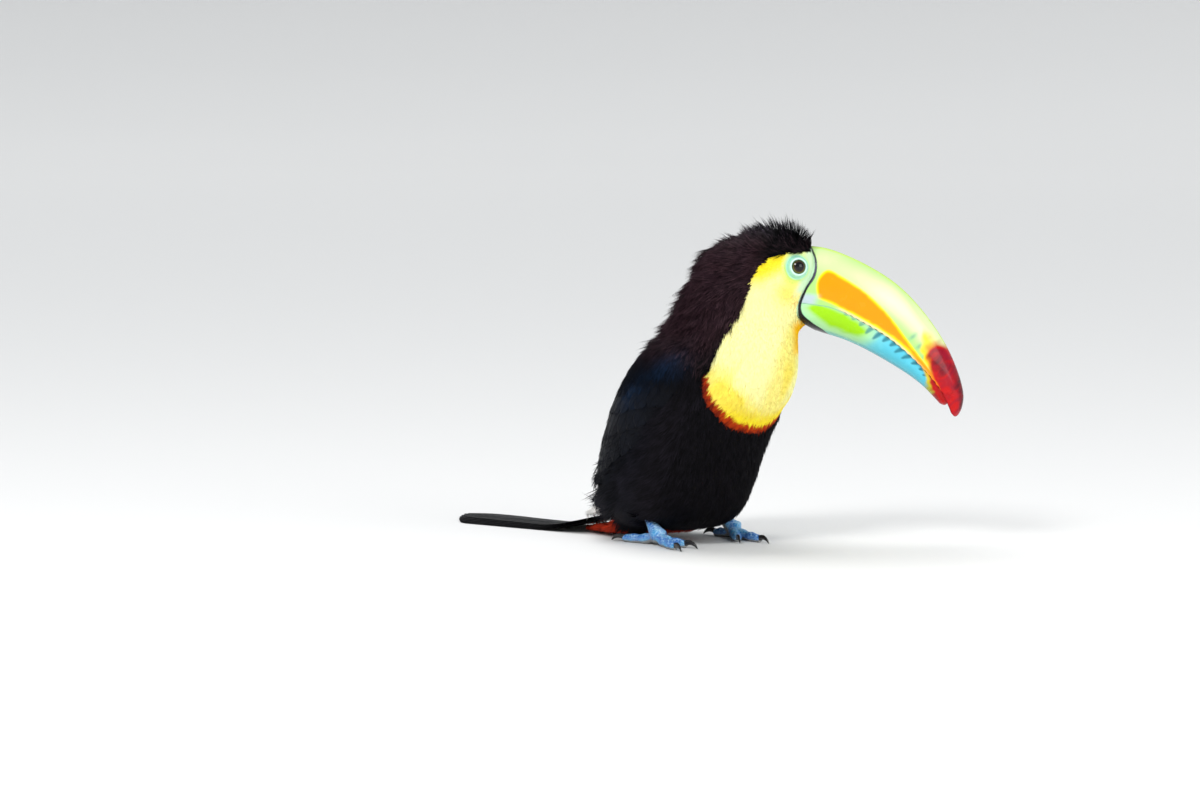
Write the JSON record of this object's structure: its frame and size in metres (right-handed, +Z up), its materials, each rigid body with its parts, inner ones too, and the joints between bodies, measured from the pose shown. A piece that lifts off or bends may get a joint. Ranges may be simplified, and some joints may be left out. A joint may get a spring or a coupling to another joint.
{
  "type": "keel-billed toucan model",
  "caption": "Life-size still model of a standing keel-billed toucan: black plumage, yellow throat, large curved multicoloured bill turned to one side, blue feet, tail on the floor.",
  "frame": {"origin": "On the floor, under the middle of the bounding box.", "axes": "+X is the way the bill points, +Z is up, and +Y is to the left of the head. The trunk faces 42 degrees towards -Y from +X."},
  "size_m": [0.3204, 0.2022, 0.2027],
  "materials": {
    "black_feathers": "soft black plumage with a blue gloss on the wings",
    "maroon_feathers": "fine black plumage with a maroon tinge",
    "yellow_feathers": "dense soft yellow plumage with a red lower edge",
    "red_feathers": "loose red feathers",
    "white_feathers": "soft white feathers",
    "bill_upper": "glossy horn, green and yellow with an orange side and a red tip",
    "bill_lower": "glossy horn, green and sky blue with a red tip",
    "eye": "wet dark eye with an olive iris",
    "eye_skin": "bare turquoise skin",
    "foot_skin": "scaly sky-blue skin",
    "claw": "smooth black horn"
  },
  "bodies": {
    "root": {"head": "black_feathers", "neck": "maroon_feathers", "bib": "yellow_feathers", "trunk": "black_feathers", "wing_right": "black_feathers", "wing_left": "black_feathers", "tail": "black_feathers", "tail_coverts_upper": "white_feathers", "tail_coverts_under": "red_feathers", "bill_upper": "bill_upper", "bill_lower": "bill_lower", "eye_right": "eye", "eye_left": "eye", "eye_ring_right": "eye_skin", "eye_ring_left": "eye_skin", "shank_right": "foot_skin", "shank_left": "foot_skin", "toe_inner_front_right": "foot_skin", "toe_outer_front_right": "foot_skin", "toe_outer_hind_right": "foot_skin", "toe_inner_hind_right": "foot_skin", "toe_inner_front_left": "foot_skin", "toe_outer_front_left": "foot_skin", "toe_outer_hind_left": "foot_skin", "toe_inner_hind_left": "foot_skin", "claw_inner_front_right": "claw", "claw_outer_front_right": "claw", "claw_outer_hind_right": "claw", "claw_inner_hind_right": "claw", "claw_inner_front_left": "claw", "claw_outer_front_left": "claw", "claw_outer_hind_left": "claw", "claw_inner_hind_left": "claw"}
  },
  "joints": []
}
